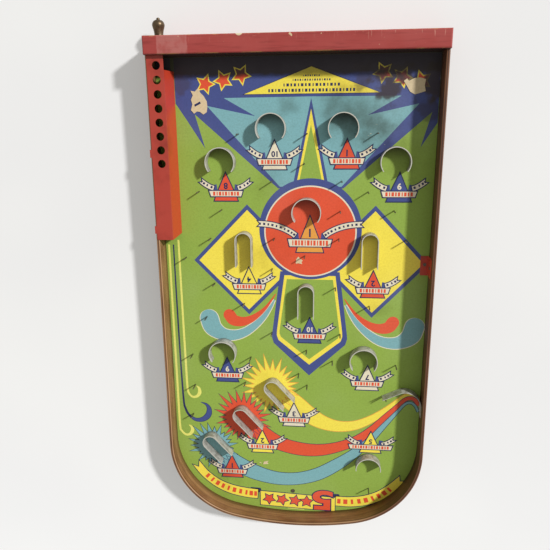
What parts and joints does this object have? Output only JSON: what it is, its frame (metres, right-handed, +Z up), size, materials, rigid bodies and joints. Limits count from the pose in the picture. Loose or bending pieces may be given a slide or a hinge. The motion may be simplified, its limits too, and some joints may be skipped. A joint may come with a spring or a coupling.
{
  "type": "tabletop bagatelle game",
  "caption": "Pin-board ball game: bent-wood tray with a round far end, wooden front rail, tin ball lane with spring plunger, tin scoring cups, pins and a folding wire prop leg.",
  "frame": {"origin": "middle of the front rail's underside, on the table", "axes": "+X to the player's right, +Y from the player to the round far end, +Z up from the table"},
  "size_m": [0.3327, 0.6419, 0.045],
  "materials": {
    "board_wood": "unfinished plywood and pine, aged",
    "printed_paper": "lithographed sheet, satin, worn",
    "rim_wood": "bent wood, old varnish",
    "rail_paint": "dull red paint on wood, chipped",
    "cover_paint": "orange-red enamel on tin",
    "tin": "dull tinplate, tarnished",
    "pin_steel": "bright wire pins, tarnished",
    "nail_steel": "dark nails, lightly rusted",
    "plated_steel": "plated steel wire, aged",
    "brass": "aged brass",
    "knob": "turned wood, dark gloss lacquer"
  },
  "bodies": {
    "tray": {"playfield_board": "board_wood", "printed_sheet": "printed_paper", "bent_rim": "rim_wood", "front_rail": "rail_paint", "side_cleat_right": "board_wood", "side_cleat_left": "board_wood", "cross_batten": "board_wood", "end_block": "board_wood", "lane_cover": "cover_paint", "lane_cover_nails": "nail_steel", "plunger_bushing": "brass", "plunger_spring": "plated_steel", "round_cup_1": "tin", "round_cup_2": "tin", "round_cup_3": "tin", "round_cup_4": "tin", "round_cup_5": "tin", "round_cup_6": "tin", "round_cup_7": "tin", "arch_cup": "tin", "slot_cup_1": "tin", "slot_cup_2": "tin", "slot_cup_3": "tin", "slot_cup_4": "tin", "slot_cup_5": "tin", "slot_cup_6": "tin", "pins": "pin_steel", "deflector_strip": "tin", "deflector_nails": "nail_steel", "rim_bracket": "cover_paint", "rim_bracket_nails": "nail_steel", "rim_nails": "nail_steel", "board_nails": "nail_steel", "leg_clip_right": "tin", "leg_clip_left": "tin", "leg_clip_nails": "nail_steel", "leg_stop_batten": "board_wood"},
    "plunger": {"plunger_rod": "plated_steel", "plunger_head": "plated_steel", "plunger_knob": "knob"},
    "prop_leg": {"prop_leg": "plated_steel"}
  },
  "joints": [
    {"name": "plunger_pull", "type": "slide", "parent": "tray", "child": "plunger", "axis": [0, -1, 0], "range_m": [0, 0.009], "stiffness_N_per_m": 1600, "springref_m": -0.004, "deforming": ["plunger_spring"]},
    {"name": "prop_leg_fold", "type": "hinge", "parent": "tray", "child": "prop_leg", "pos_m": [0, 0.52425, 0.0046], "axis": [1, 0, 0], "range_deg": [0, 100]}
  ]
}
